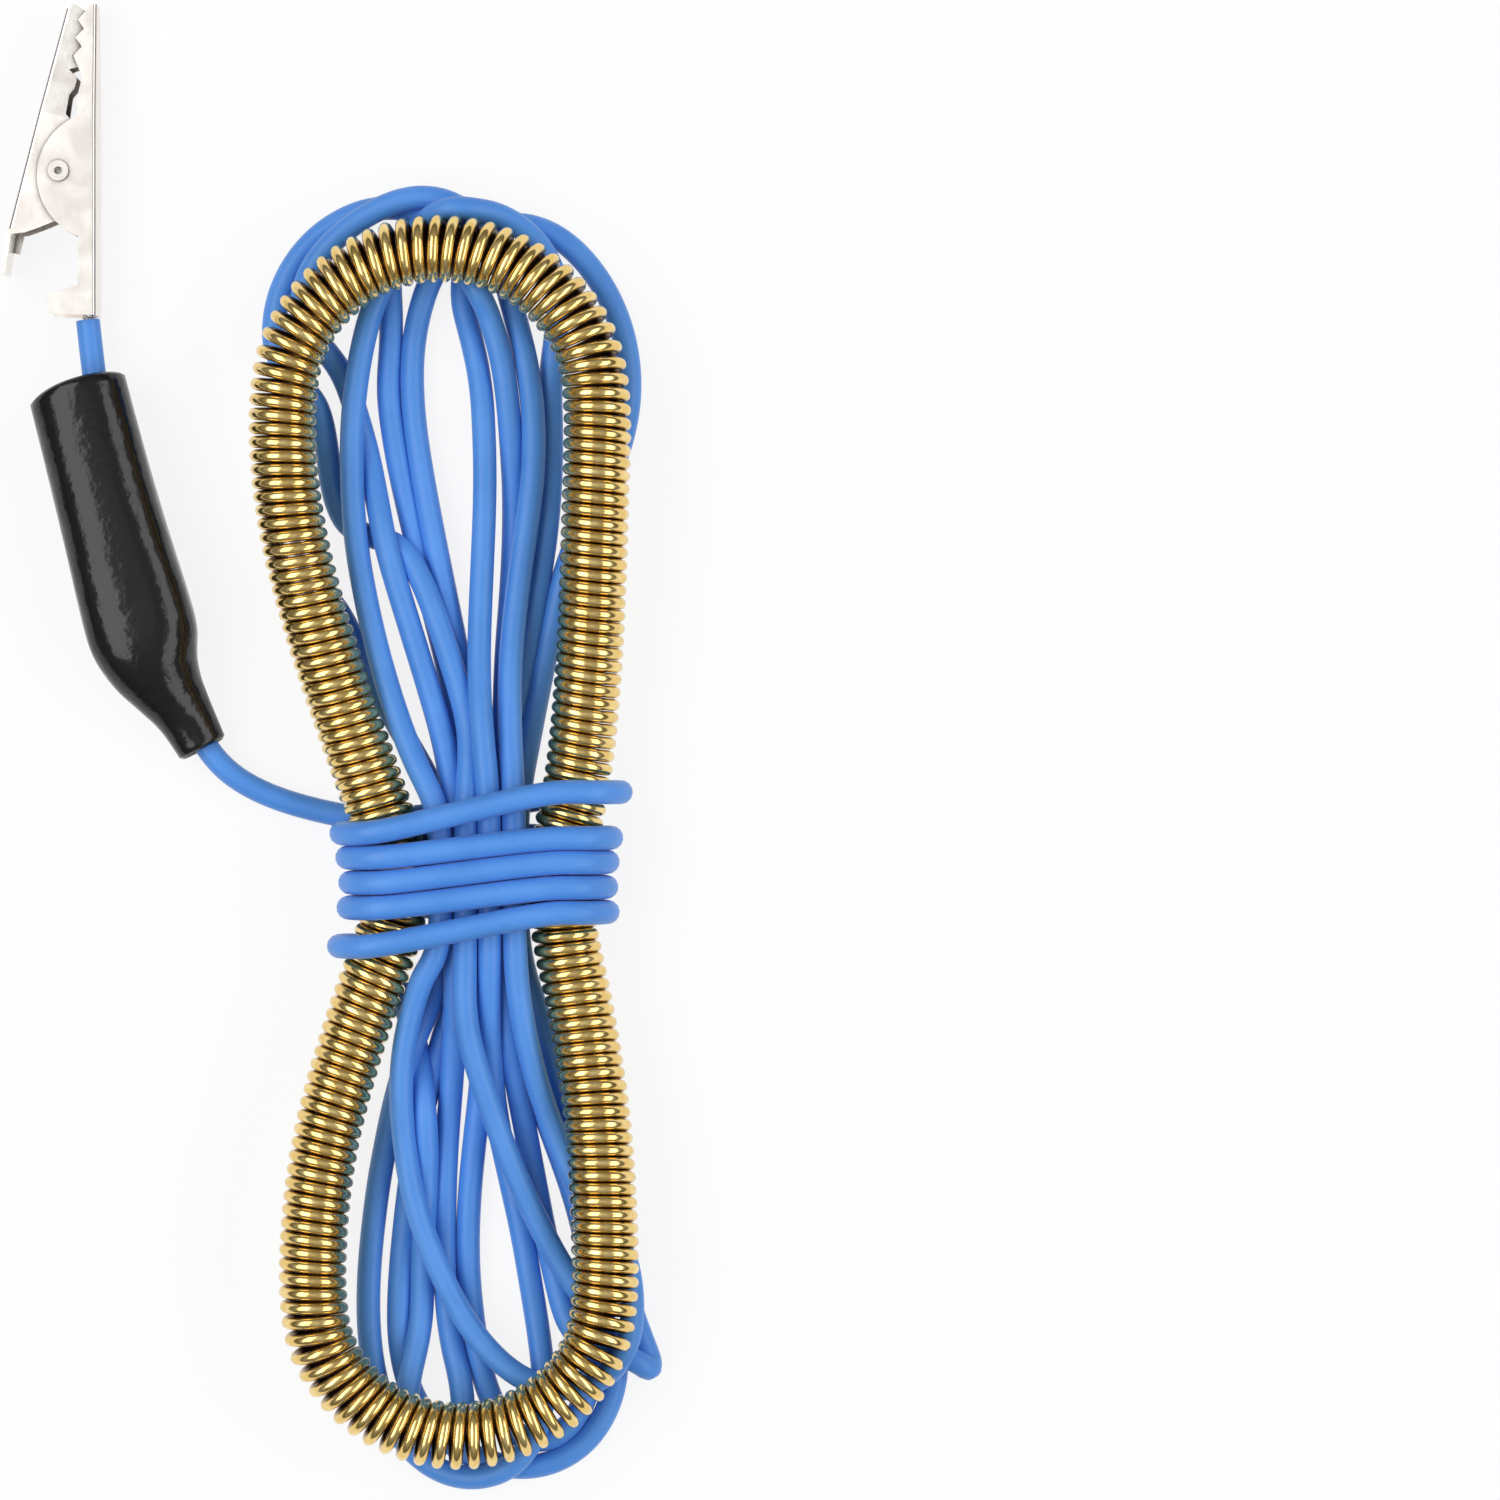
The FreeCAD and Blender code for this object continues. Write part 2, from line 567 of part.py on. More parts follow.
def torsion_spring():
    """Turns round the rivet, with one arm on the back of each jaw's spine, pushing the thumb tabs apart."""
    thick = measure("dim.spring_wire") / 2
    turns = measure("dim.spring_turns")
    pitch = 2 * thick + 0.06
    radius = measure("dim.rivet_shank") / 2 + 0.15 + thick
    bottom = clip_middle_z - pitch * turns / 2
    arm = measure("dim.spring_arm")
    height = pitch * (turns + 0.5)
    helix = Part.makeHelix(pitch, height, radius)
    heading = Vector(0, 1, pitch / (2 * math.pi * radius))
    section = Part.Wire([Part.makeCircle(thick, Vector(radius, 0, 0), heading)])
    coil = Part.Wire(helix.Edges).makePipeShell([section], True, True)
    # The coil starts on the side of the fixed spine and ends half a turn past it, by the other spine.
    low_end = Vector(radius, 0, 0)
    high_end = Vector(-radius, 0, height)
    low_arm = Vector(measure("dim.spine_reach - dim.sheet") - thick - 0.02, -arm, 0) - low_end
    seat = -measure("dim.thumb_reach - dim.sheet") + thick + 0.02
    lean = math.radians(measure("dim.thumb_tilt"))
    high_tip = Vector(seat * math.cos(lean) - arm * math.sin(lean),
                      -seat * math.sin(lean) - arm * math.cos(lean), high_end.z)
    high_arm = high_tip - high_end
    pieces = [coil]
    for end, arm_line in ((low_end, low_arm), (high_end, high_arm)):
        pieces.append(Part.makeSphere(thick, end))
        pieces.append(Part.makeCylinder(thick, arm_line.Length, end, arm_line))
    shape = pieces[0].multiFuse(pieces[1:])
    spring = solid_part("clip_spring", shape)
    spring.Placement = FreeCAD.Placement(
        Vector(measure("dim.clip_x"), measure("dim.clip_y"), bottom), FreeCAD.Rotation())


# ---- the boot, a dipped soft sleeve that slides along the lead ----

cuff_line = (cuff_end - cuff_start).normalize()
CUFF_PAST = 2.0  # the lead stays straight this far past the cuff's end
cuff_lip = cuff_end - cuff_line * CUFF_PAST
cuff_heading = math.degrees(math.atan2(cuff_line.y, cuff_line.x))

# The boot's sections from its mouth to its shoulder: x, y, heading in degrees, width and height outside.
boot_sections = [
    (-27.6, 39.0, -78.0, "dim.boot_mouth", "dim.boot_height - 0.4"),
    (-25.1, 28.8, -75.0, "dim.boot_mouth + 0.3", "dim.boot_height - 0.2"),
    (-23.3, 21.6, -75.0, "dim.boot_waist - 0.5", "dim.boot_height"),
    (-21.7, 14.8, -75.0, "dim.boot_waist", "dim.boot_height"),
    (-20.6, 10.8, -74.0, "dim.boot_waist - 0.3", "dim.boot_height"),
    (-19.8, 9.0, -73.0, "dim.boot_waist - 1.2", "dim.boot_height - 0.2"),
    (-18.8, 7.3, -70.0, "dim.boot_waist - 2.7", "dim.boot_height - 1.4"),
    (-17.2, 5.1, -66.0, "dim.boot_waist - 4.5", "dim.boot_height - 3.0"),
]


def boot_section(name, x, y, z, heading, wide, high, inset):
    """One oval across the boot."""
    oval = make("Part::Ellipse", name, MajorRadius="(%s) / 2 - %s" % (wide, inset),
                MinorRadius="(%s) / 2 - %s" % (high, inset))
    oval.setExpression("Placement", (
        "placement(vector(%s; %s; %s); rotation(vector(0; 0; 1); %s) * rotation(vector(1; 0; 0); 90))"
        % (x, y, z, heading + 90)))
    return oval


def boot():
    """The hollow boot: an oval body that draws in to a round cuff on the lead."""
    shells = []
    for name, inset, cuff in (("boot_outside", "0", "dim.cuff_od"),
                              ("boot_inside", "dim.boot_wall", "dim.wire_od + 2 * dim.cuff_gap")):
        ovals = []
        for index, (x, y, heading, wide, high) in enumerate(boot_sections):
            high = "min(%s; %s - 0.1)" % (high, wide)
            ovals.append(boot_section("%s_%d" % (name, index), x, y, "(%s) / 2" % high, heading,
                                      wide, high, inset))
        for index, (back, flare) in enumerate(((3.5, 0.8), (0.0, 0.0))):
            spot = cuff_lip - cuff_line * back
            ovals.append(boot_section("%s_cuff_%d" % (name, index), spot.x, spot.y, spot.z,
                                      cuff_heading, "%s + %s" % (cuff, flare), cuff + " - 0.01", "0"))
        loft = doc.addObject("Part::Loft", name)
        loft.Sections = ovals
        loft.Solid = True
        loft.Ruled = True
        shells.append(loft)
    keep(less("boot", *shells), "boot")


# ---- build, check and write ----

spring_loop()
lead_head()
lead_tail()
lead_wraps()
lead_hank()
lead_ends()
solder()
fixed_jaw()
moving_jaw()
rivet()
torsion_spring()
boot()
doc.recompute()

faults = [thing.Name for thing in doc.Objects if {"Invalid", "Error"} & set(thing.State)]
for thing in parts:
    if thing.Shape.isNull() or not thing.Shape.isValid() or not thing.Shape.Solids:
        faults.append(thing.Label)
        continue
    box = thing.Shape.BoundBox
    print("%-20s solids %d volume %8.1f  x %6.1f %6.1f  y %6.1f %6.1f  z %5.2f %5.2f" % (
        thing.Label, len(thing.Shape.Solids), thing.Shape.Volume,
        box.XMin, box.XMax, box.YMin, box.YMax, box.ZMin, box.ZMax))
if faults:
    raise SystemExit("not built: " + ", ".join(faults))

os.makedirs("parts", exist_ok=True)
for thing in parts:
    thing.Shape.exportStep("parts/%s.step" % thing.Label)
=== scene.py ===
import math

import bpy
import numpy as np
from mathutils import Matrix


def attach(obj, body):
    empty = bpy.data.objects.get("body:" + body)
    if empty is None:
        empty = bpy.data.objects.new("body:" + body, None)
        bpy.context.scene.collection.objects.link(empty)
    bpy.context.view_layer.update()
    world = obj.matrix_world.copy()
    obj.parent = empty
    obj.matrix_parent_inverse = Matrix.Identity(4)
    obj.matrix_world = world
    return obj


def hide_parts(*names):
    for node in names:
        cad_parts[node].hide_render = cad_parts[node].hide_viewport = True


# The look of an anti-static wrist strap: a loop of gold-coloured coil spring, a soft blue lead folded into
# a hank and wound round the loop's waist, a black boot, and a nickel-plated crocodile clip.

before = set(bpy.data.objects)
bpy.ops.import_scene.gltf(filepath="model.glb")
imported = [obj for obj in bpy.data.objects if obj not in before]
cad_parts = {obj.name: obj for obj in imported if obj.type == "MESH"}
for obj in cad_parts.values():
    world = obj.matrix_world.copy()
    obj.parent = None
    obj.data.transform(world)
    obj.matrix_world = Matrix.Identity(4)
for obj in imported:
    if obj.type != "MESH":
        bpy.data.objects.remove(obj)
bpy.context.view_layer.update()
MM = 0.001


# ---- camera: square above the strap, from far enough for a flat view ----

VIEW_WIDTH = 168 * MM
camera_data = bpy.data.cameras.new("overhead")
camera_data.lens = 135
camera_data.sensor_width = 36
camera_data.clip_end = 5
camera = bpy.data.objects.new("overhead", camera_data)
camera.location = (47.8 * MM, -1.7 * MM, VIEW_WIDTH * camera_data.lens / camera_data.sensor_width + 5 * MM)
bpy.context.collection.objects.link(camera)
bpy.context.scene.camera = camera


# ---- lines ----

def smooth_line(points, steps, closed=False):
    """The quadratic B-spline of a row of corners, as steps samples along each corner's arc.

    An arc runs from the middle of one side to the middle of the next, and its corner draws it outwards:
    (1 - t)^2 start + 2 t (1 - t) corner + t^2 end. An open line starts and ends on its end corners."""
    points = np.asarray(points, float)
    if closed:
        corners = points
        starts = (np.roll(points, 1, axis=0) + points) / 2
        ends = (points + np.roll(points, -1, axis=0)) / 2
    else:
        corners = points[1:-1]
        starts = (points[:-2] + points[1:-1]) / 2
        ends = (points[1:-1] + points[2:]) / 2
        starts[0], ends[-1] = points[0], points[-1]
    t = (np.arange(steps) / steps)[None, :, None]
    line = (1 - t) ** 2 * starts[:, None] + 2 * t * (1 - t) * corners[:, None] + t ** 2 * ends[:, None]
    line = line.reshape(-1, points.shape[1])
    return line if closed else np.vstack([line, ends[-1]])


def along(line, closed=False):
    """Distance along a line of samples, from 0. A closed line's last distance is its whole length."""
    rest = np.vstack([line, line[:1]]) if closed else line
    return np.concatenate([[0], np.cumsum(np.linalg.norm(np.diff(rest, axis=0), axis=1))])


def unit(rows):
    """Each row at length 1."""
    return rows / np.linalg.norm(rows, axis=-1, keepdims=True)


def grid_mesh(name, points, round_u=False, round_v=True):
    """A mesh of quads over an array of points [u, v], joined up where u or v comes round to its start."""
    rows, columns = points.shape[:2]
    u = np.arange(rows if round_u else rows - 1)[:, None]
    v = np.arange(columns if round_v else columns - 1)[None, :]
    next_u, next_v = (u + 1) % rows, (v + 1) % columns
    quads = np.stack([u * columns + v, u * columns + next_v, next_u * columns + next_v, next_u * columns + v],
                     axis=-1).reshape(-1, 4)
    mesh = bpy.data.meshes.new(name)
    mesh.vertices.add(rows * columns)
    mesh.vertices.foreach_set("co", points.reshape(-1).astype(np.float32))
    mesh.loops.add(quads.size)
    mesh.loops.foreach_set("vertex_index", quads.reshape(-1).astype(np.int32))
    mesh.polygons.add(len(quads))
    mesh.polygons.foreach_set("loop_start", np.arange(0, quads.size, 4, dtype=np.int32))
    mesh.update(calc_edges=True)
    mesh.shade_smooth()
    piece = bpy.data.objects.new(name, mesh)
    bpy.context.collection.objects.link(piece)
    return piece


def vertex_values(piece, name, values):
    """Give each vertex a number that the piece's material reads."""
    layer = piece.data.attributes.new(name, "FLOAT", "POINT")
    layer.data.foreach_set("value", values.reshape(-1).astype(np.float32))


# ---- where the spring loop lies, in millimetres ----

COIL_R = 3.8            # the spring's outer radius
WIRE_R = 1.35           # the lead's radius
WAIST_Y = -16.8         # the middle of the wraps
LOWEST_Z = COIL_R + 2.7     # the spring's centre over one strand, at the waist
RISE = 2.7              # how much higher it lies over two, at the loop's ends


def bend(x, y, radius, first, last, steps=7):
    """Corners outside a round bend of that radius, from one angle to another in degrees."""
    turn = (last - first) / steps
    angles = np.radians(first + turn * (np.arange(steps) + 0.5))
    reach = radius / math.cos(math.radians(turn / 2))
    return np.stack([x + reach * np.cos(angles), y + reach * np.sin(angles)], axis=1)


right_leg = [(30.6, 25.0), (30.0, 9.0), (28.7, -5.0), (26.6, -13.8), (26.7, -20.8), (29.0, -31.0),
             (31.2, -45.0)]
left_leg = [(-0.4, -48.0), (3.6, -33.0), (8.3, -20.3), (8.2, -13.3), (4.6, -3.5), (-0.6, 12.0),
            (-4.0, 26.0)]
loop_flat = np.vstack([bend(13.3, 36.4, 17.7, 180, 0), right_leg, bend(15.4, -61.4, 16.6, 0, -180), left_leg])
past_wraps = np.clip((np.abs(loop_flat[:, 1] - WAIST_Y) - 7.3) / 38, 0, 1)
loop_z = LOWEST_Z + RISE * past_wraps ** 2 * (3 - 2 * past_wraps)
loop_line = smooth_line(np.column_stack([loop_flat, loop_z]), 60, closed=True)


def leg_at(y, side):
    """The loop's centre at a y near the waist, on its left (-1) or right (1) leg, as x and z."""
    near = loop_line[(np.abs(loop_line[:, 1] - WAIST_Y) < 22) & (side * (loop_line[:, 0] - 17) > 0)]
    near = near[np.argsort(near[:, 1])]
    return np.interp(y, near[:, 1], near[:, 0]), np.interp(y, near[:, 1], near[:, 2])


# ---- the lead: one cord from the spring's joint, eleven times through the waist, five times round it, and
# away to the clip. Each lap is a list of places, and between two laps it passes through the waist ----

LOW, MID, HIGH = 4.16, 6.5, 8.84     # the three rows in which strands lie between the loop's legs

head = [(-1.7, 16.7, 3.9), (0.4, 15.8, 2.6), (2.6, 12.0, 1.5), (4.8, 7.2, 1.35), (7.8, 1.6, 1.4),
        (11.2, -4.0, 2.6)]

# Laps below and above the waist in the order in which the lead makes them. The first place of each is near
# the waist, and so is the last.
laps = [
    # down the far left, round the lowest bight, up beside the opening
    [(12.3, -29.4, 2.8), (10.5, -34.0, 1.35), (8.8, -38.8, 1.35), (7.3, -43.6, 1.35), (6.2, -48.9, 1.35),
     (5.4, -54.7, 1.35), (4.8, -61.1, 1.35), (4.8, -67.5, 1.35), (5.8, -74.0, 1.35), (8.4, -79.4, 1.35),
     (12.2, -82.8, 1.5), (16.4, -83.8, 2.6), (20.8, -82.6, 4.05), (23.8, -79.0, 4.05), (24.8, -74.0, 3.0),
     (24.2, -68.6, 1.35), (23.3, -62.9, 1.35), (22.2, -55.9, 1.35), (20.6, -49.2, 1.35),
     (19.2, -43.0, 1.6), (18.7, -36.5, 3.6), (18.6, -30.5, 6.6)],
    # up beside the opening, a short bight under the top of the spring, down inside on the left
    [(17.8, 1.0, 7.8), (17.4, 8.4, 5.6), (17.7, 17.3, 4.3), (18.1, 27.0, 4.05), (18.0, 33.5, 4.05),
     (17.6, 39.5, 3.0), (16.5, 44.5, 1.8), (15.1, 49.3, 1.4), (15.9, 53.4, 1.35), (13.6, 57.3, 1.35),
     (9.4, 57.2, 1.35), (7.0, 53.6, 1.35), (7.4, 48.6, 1.35), (7.5, 44.0, 1.35), (7.0, 38.5, 1.35),
     (7.9, 32.3, 1.35), (9.3, 25.9, 1.35), (10.6, 20.2, 1.35), (12.2, 14.0, 1.35), (13.8, 7.5, 1.6),
     (15.4, 0.0, 3.0)],
    # down on the left, round the lower right, back up across everything
    [(14.6, -29.4, 3.0), (12.8, -34.4, 1.5), (11.4, -39.5, 1.35), (10.3, -45.0, 1.35), (9.2, -53.5, 1.35),
     (8.3, -61.7, 1.35), (8.2, -68.6, 1.35), (9.8, -75.0, 1.35), (13.6, -79.8, 1.35),
     (19.0, -82.4, 1.35), (24.4, -82.6, 1.35), (29.2, -80.0, 1.35), (32.3, -75.2, 1.35),
     (32.9, -69.6, 1.6), (30.8, -65.0, 2.8), (27.3, -60.8, 4.05), (24.0, -54.7, 4.6), (20.9, -47.7, 5.4),
     (18.0, -39.6, 6.6), (15.9, -32.0, 8.2)],
    # up on top to the left, under two strands, round the outside of the top, down on the right
    [(16.8, 0.0, 7.6), (15.2, 5.6, 6.0), (13.8, 9.8, 4.8), (11.9, 15.2, 4.05), (10.0, 19.6, 2.6),
     (7.6, 22.0, 1.35), (4.8, 22.3, 1.35), (2.2, 23.4, 1.35), (0.7, 27.4, 1.35), (0.1, 33.0, 1.35),
     (-0.9, 37.6, 1.35), (-3.4, 39.8, 1.35), (-5.7, 42.4, 1.35), (-6.0, 46.6, 1.35), (-4.8, 51.2, 1.35),
     (-1.8, 55.6, 1.35), (2.4, 58.5, 1.35), (7.0, 59.5, 1.35), (11.4, 58.4, 2.8), (14.8, 54.8, 4.05),
     (17.8, 49.2, 4.05), (19.8, 43.2, 4.05), (20.6, 38.0, 4.05), (21.0, 32.6, 3.2), (21.3, 26.0, 1.6),
     (21.0, 17.0, 1.35), (20.4, 7.0, 2.6),
     (20.2, 0.0, 4.6)],
    # down on the right, out to a tight fold, back under the right leg
    [(20.4, -29.5, 4.6), (21.1, -36.0, 2.4), (22.3, -43.0, 1.35), (23.4, -49.5, 1.35), (24.5, -55.5, 1.35),
     (25.9, -61.5, 1.35), (27.3, -66.8, 2.2), (30.6, -69.4, 4.05), (34.2, -69.5, 4.05), (36.6, -71.8, 3.9),
     (36.8, -71.0, 1.4), (34.7, -65.8, 1.35), (33.2, -60.0, 1.35), (31.2, -53.6, 1.35),
     (29.0, -46.6, 1.35), (26.4, -39.0, 1.5), (24.1, -31.6, 2.6)],
    # up on the far right, round the widest bight, down beside the opening
    [(23.0, 0.0, 2.6), (24.2, 7.5, 1.5), (25.8, 15.0, 1.35), (28.0, 21.6, 1.35), (30.8, 27.0, 1.35),
     (33.2, 32.0, 1.35), (34.5, 38.6, 1.35), (33.7, 45.4, 1.35), (31.0, 51.4, 1.35), (26.8, 56.0, 1.35),
     (22.2, 57.8, 1.35), (17.8, 57.0, 1.5), (13.4, 54.2, 2.4), (11.0, 49.6, 1.8), (9.6, 43.4, 1.35),
     (9.7, 37.1, 1.35), (10.6, 30.2, 1.35), (11.9, 23.2, 1.35), (13.5, 15.7, 1.6), (15.1, 8.4, 3.2),
     (16.6, 0.4, 5.0)],
    # down beside the opening, round under the spring, back up among the strands on the right
    [(17.5, -29.4, 4.8), (17.8, -37.2, 2.2), (16.9, -44.8, 1.35), (16.1, -52.4, 1.35), (15.9, -59.4, 1.35),
     (16.6, -66.4, 1.35), (17.8, -73.2, 1.35), (20.6, -78.8, 1.35), (25.2, -80.0, 1.35),
     (28.9, -76.6, 1.35), (30.4, -70.8, 1.35), (30.3, -64.8, 1.35), (29.7, -58.8, 1.35), (28.2, -52.4, 1.35),
     (25.6, -45.2, 1.35), (22.8, -38.2, 1.6), (19.8, -31.0, 2.8)],
    # up on the right against the spring, over its top, down the far left
    [(20.6, 0.0, 2.8), (22.6, 8.4, 1.6), (24.1, 17.0, 1.35), (25.2, 25.3, 1.35), (25.5, 33.4, 1.35),
     (25.2, 39.8, 1.35), (26.0, 45.0, 2.0), (26.5, 49.6, 3.4), (25.0, 54.2, 4.4), (21.4, 57.7, 4.7),
     (16.6, 59.2, 4.5), (11.4, 56.6, 4.05), (8.2, 53.4, 4.05), (5.5, 48.6, 4.05), (3.8, 41.4, 4.05),
     (3.0, 33.4, 4.05), (3.3, 22.9, 4.05), (5.2, 12.6, 4.6), (7.8, 3.6, 6.4), (10.6, -3.6, 8.0)],
    # down on top to the left, a wide sweep to the right, back up on the right
    [(11.5, -26.4, 8.2), (10.0, -30.6, 6.4), (8.8, -36.4, 4.5), (8.7, -43.4, 4.05), (9.8, -51.2, 4.05),
     (12.1, -58.2, 4.05), (15.0, -64.4, 4.05), (18.2, -69.0, 4.05), (22.2, -72.4, 4.05),
     (27.2, -73.8, 4.05), (31.8, -71.8, 4.05), (34.5, -67.0, 4.05), (34.7, -60.6, 4.05),
     (32.0, -55.0, 4.05), (28.2, -50.2, 4.05), (25.5, -43.8, 4.6), (23.5, -37.4, 5.8), (22.1, -30.4, 7.6)],
    # up on the right on top, over the highest arch, down the left under one strand
    [(21.0, 0.0, 7.2), (20.9, 7.0, 5.4), (21.4, 13.5, 4.3), (22.4, 21.0, 4.05), (23.5, 28.6, 4.05),
     (23.6, 35.8, 4.05), (22.7, 42.2, 3.4), (21.2, 47.6, 1.6), (19.6, 53.6, 1.35), (17.2, 57.8, 2.4),
     (13.6, 60.0, 3.8), (9.4, 60.3, 4.05), (4.8, 58.4, 4.05), (1.0, 55.6, 4.05), (-2.0, 51.8, 3.8),
     (-3.0, 47.2, 2.8), (-1.0, 44.4, 1.35), (1.8, 41.2, 1.35), (3.4, 36.6, 1.35), (4.8, 31.6, 1.35),
     (5.9, 26.4, 2.8), (7.0, 21.0, 4.05), (9.0, 14.2, 4.2), (11.6, 6.0, 5.0), (13.8, -1.4, 6.0)],
    # down the middle of the left side, a bight under the spring, up to the left leg, where the wraps start
    [(14.8, -29.6, 4.8), (14.4, -37.0, 2.0), (13.7, -45.0, 1.35), (13.3, -53.0, 1.35), (13.4, -61.0, 1.35),
     (14.0, -68.0, 1.35), (15.6, -73.6, 2.8), (15.6, -79.0, 4.05), (9.2, -79.2, 4.05),
     (9.2, -73.2, 2.8), (10.9, -66.5, 1.35), (10.9, -59.0, 1.35), (11.3, -51.0, 1.35),
     (11.5, -43.0, 1.35), (10.6, -35.6, 1.35), (8.8, -29.6, 1.35), (6.6, -25.6, 1.35)],
]
# Where the lead passes through the waist between one lap and the next: across, and which row.
passes = [(13.45, LOW), (18.85, HIGH), (16.15, LOW), (16.15, HIGH), (20.2, MID), (21.55, LOW),
          (17.5, MID), (18.85, LOW), (13.45, HIGH), (21.55, HIGH), (14.8, MID)]
PASS_TOP, PASS_END = -8.5, -24.0

# Each wrap's y at its left and at its right, from the end wrap to the one beside the tail.
WRAPS = [(-23.6, -19.8), (-19.3, -17.0), (-16.5, -14.2), (-13.7, -11.5), (-11.0, -6.4)]
tail = [(3.2, -9.4, 1.35), (-1.4, -8.4, 1.36), (-4.9, -7.4, 1.45), (-8.0, -6.1, 1.9), (-10.7, -4.4, 2.5),
        (-12.7, -2.3, 2.75), (-14.6, 0.7, 2.75), (-19.1, 8.5, 2.75), (-20.8, 15.0, 2.9), (-22.4, 21.4, 3.1),
        (-24.0, 28.2, 3.2), (-25.1, 35.0, 3.3), (-25.95, 41.0, 3.4), (-26.55, 46.55, 3.35)]


def wrap_points():
    """Five turns round both legs: four places round each leg, set out so that the line lies on the spring,
    and two on each straight pass, above and below."""
    reach = COIL_R + WIRE_R + 0.05
    corner = reach / math.cos(math.radians(22.5))
    half_turn = np.radians([247.5, 202.5, 157.5, 112.5])
    spots = []
    next_lefts = [left for left, _ in WRAPS[1:]] + [-9.4]
    for (left, right), next_left in zip(WRAPS, next_lefts):
        for y, side in ((left, -1), (right, 1)):
            x, z = leg_at(y, side)
            angles = half_turn if side < 0 else half_turn - math.pi
            spots += [(x + corner * math.cos(angle), y, z + corner * math.sin(angle)) for angle in angles]
            there = right if side < 0 else next_left
            top = z + reach if side < 0 else z - reach
            inner = (x + 1.2, 25.5) if side < 0 else (x - 1.2, 9.5)
            spots += [(inner[0], y + (there - y) * 0.12, top), (inner[1], y + (there - y) * 1.04, top)]
    return spots


def lead_route():
    """The lead's places from end to end, and where in the row the wraps start."""
    route = list(head)
    for number, (lap, (x, z)) in enumerate(zip(laps, passes)):
        ends = (PASS_TOP, PASS_END) if number % 2 == 0 else (PASS_END, PASS_TOP)
        route += [(x, y, z) for y in ends] + lap
    return np.array(route + wrap_points() + tail), len(route)


# How the strands settle, in millimetres: the space between samples, how near along the lead two samples
# are one strand, and the length over which a held end comes loose. Then shares of a push and of the way
# back in each round, in x, y and z.
ARC_STEPS = 12
SAMPLE_STEP = 2.0
SAME_STRAND = 9
HELD_END = 8
SETTLE_ROUNDS = 160
PUSH = (0.12, 0.12, 0.30)
DRAW_BACK = (0.03, 0.03, 0.004)


def settle(corners, wraps_start):
    """The lead as samples, with its strands pushed over and beside each other, so that none runs through
    another, the spring or the table. The wraps and the tail stay where they are.

    In each round, samples of different strands that are nearer than the lead's thickness push each other
    away, mostly up or down. The push is spread along the lead into a long low hump, each sample is drawn
    back a little towards its first place, and what has gone into the spring or the table comes out."""
    line = smooth_line(corners, ARC_STEPS)
    distance = along(line)
    wraps_from = distance[(wraps_start - 1) * ARC_STEPS]
    count = round(distance[-1] / SAMPLE_STEP)
    even = np.linspace(0, distance[-1], count)
    start = np.stack([np.interp(even, distance, line[:, axis]) for axis in range(3)], axis=1)
    loose = np.clip(np.minimum(even, wraps_from - even) / HELD_END, 0, 1)[:, None]
    order = np.arange(count)
    later = np.sign(order[:, None] - order[None, :])
    others = np.abs(order[:, None] - order[None, :]) * SAMPLE_STEP > SAME_STRAND
    hump = np.hanning(11)[1:-1]
    hump /= hump.sum()
    clear = 2 * WIRE_R + 0.05
    spring_centre = loop_line[::6]
    place = start.copy()
    for _ in range(SETTLE_ROUNDS):
        gap = place[:, None] - place[None]
        # The upper strand of two goes over, and the later one where they are level.
        gap[:, :, 2] += 0.5 * np.sign(gap[:, :, 2] + 0.02 * later)
        far = np.maximum(np.sqrt((gap ** 2).sum(axis=2)), 0.01)
        overlap = np.where(others & (far < clear), (clear - far) / far, 0)
        push = np.einsum("ij,ijk->ik", overlap, gap) * PUSH
        push = np.stack([np.convolve(push[:, axis], hump, mode="same") for axis in range(3)], axis=1)
        place += loose * (push + (start - place) * DRAW_BACK)
        from_spring = place[:, None] - spring_centre[None]
        reach = np.sqrt((from_spring ** 2).sum(axis=2))
        nearest = reach.argmin(axis=1)
        reach = reach[order, nearest][:, None]
        outward = from_spring[order, nearest] / reach
        place += loose * outward * np.maximum(COIL_R + WIRE_R + 0.02 - reach, 0)
        place[:, 2] = np.maximum(place[:, 2], np.minimum(start[:, 2], WIRE_R))
    return place


route = settle(*lead_route()) * MM
lead_curve = bpy.data.curves.new("lead", "CURVE")
lead_curve.dimensions = "3D"
spline = lead_curve.splines.new("NURBS")
spline.points.add(len(route) - 1)
spline.points.foreach_set("co", np.column_stack([route, np.ones(len(route))]).reshape(-1))
spline.order_u = 3
spline.use_endpoint_u = True
lead_curve.resolution_u = 3
lead_curve.bevel_depth = WIRE_R * MM
lead_curve.bevel_resolution = 5
lead_curve.use_fill_caps = True
lead = bpy.data.objects.new("lead", lead_curve)
bpy.context.collection.objects.link(lead)


# ---- the spring loop ----

COIL_WIRE_R = 0.675
TURN_SPACE = 1.03       # a turn's room along a straight stretch, in widths of its wire
MOST_OPEN = 0.19        # the share of turn radius to bend radius past which turns open no further
LOOP_SAMPLES = 5400
BEND_REACH = 30         # samples each way over which the line's bending is measured


